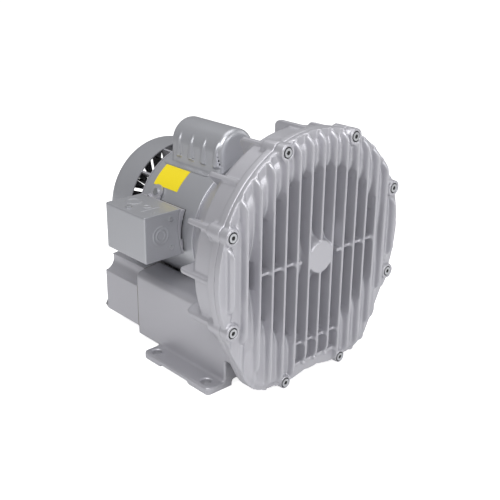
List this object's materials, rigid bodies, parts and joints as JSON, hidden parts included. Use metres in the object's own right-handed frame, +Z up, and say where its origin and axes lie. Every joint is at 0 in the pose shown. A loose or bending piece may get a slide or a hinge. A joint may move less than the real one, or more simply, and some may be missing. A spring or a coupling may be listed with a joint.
{
  "type": "side channel blower",
  "caption": "Silver-grey side channel blower: finned round cover, bladed wheel, muffler base with two feet, motor with fan cowl, conduit box and capacitor cover.",
  "frame": {"origin": "centre of the four foot holes, on the floor plane under the feet", "axes": "+Z up; the shaft runs along Y, with the finned cover at -Y and the motor at +Y; the conduit box is on -X"},
  "size_m": [0.292, 0.308, 0.3035],
  "materials": {
    "casting": "satin silver-grey spray over a cast surface",
    "sheet_paint": "satin silver-grey spray over pressed sheet",
    "black_steel": "sprayed over with the machine, dark sockets",
    "zinc_steel": "bright zinc plate",
    "ground_green": "bright zinc plate",
    "wheel_alloy": "machined",
    "tool_steel": "ground",
    "bearing_steel": "polished",
    "black_rubber": "matte",
    "lamination": "stacked laminations",
    "winding_copper": "varnished copper",
    "fan_plastic": "matte",
    "gasket_fibre": "matte",
    "foam": "open cell foam",
    "wire_cover": "gloss",
    "can_metal": "plain",
    "label_yellow": "blank printed film"
  },
  "bodies": {
    "blower": {"front_cover": "casting", "rear_housing": "casting", "port_block": "casting", "rear_end_bell": "casting", "cover_screws": "black_steel", "port_block_screws": "zinc_steel", "motor_through_bolts": "zinc_steel", "cowl_screws": "zinc_steel", "conduit_box_screws": "zinc_steel", "saddle_screw": "zinc_steel", "ground_screw": "ground_green", "capacitor_cover_screws": "zinc_steel", "front_bearing_outer": "bearing_steel", "rear_bearing_outer": "bearing_steel", "shaft_seal": "black_rubber", "wave_washer": "bearing_steel", "stator_core": "lamination", "stator_windings": "winding_copper", "motor_shell": "sheet_paint", "fan_cowl": "sheet_paint", "capacitor_cover": "sheet_paint", "conduit_box": "sheet_paint", "conduit_saddle": "casting", "port_block_gasket": "gasket_fibre", "conduit_gasket": "black_rubber", "muffler_tube_inlet": "wheel_alloy", "muffler_tube_outlet": "wheel_alloy", "muffler_foam_inlet": "foam", "muffler_foam_outlet": "foam", "lead_wires": "wire_cover", "lead_grommet": "black_rubber", "capacitor": "can_metal", "capacitor_strap": "zinc_steel", "label": "label_yellow"},
    "rotor": {"motor_shaft": "tool_steel", "rotor_core": "lamination", "impeller": "wheel_alloy", "impeller_key": "tool_steel", "impeller_washer": "zinc_steel", "impeller_bolt": "zinc_steel", "front_bearing_inner": "bearing_steel", "rear_bearing_inner": "bearing_steel", "cooling_fan": "fan_plastic", "fan_clip": "bearing_steel"}
  },
  "joints": [
    {"name": "rotor_spin", "type": "hinge", "parent": "blower", "child": "rotor", "pos_m": [0, 0, 0.1575], "axis": [0, 1, 0], "continuous": true}
  ]
}
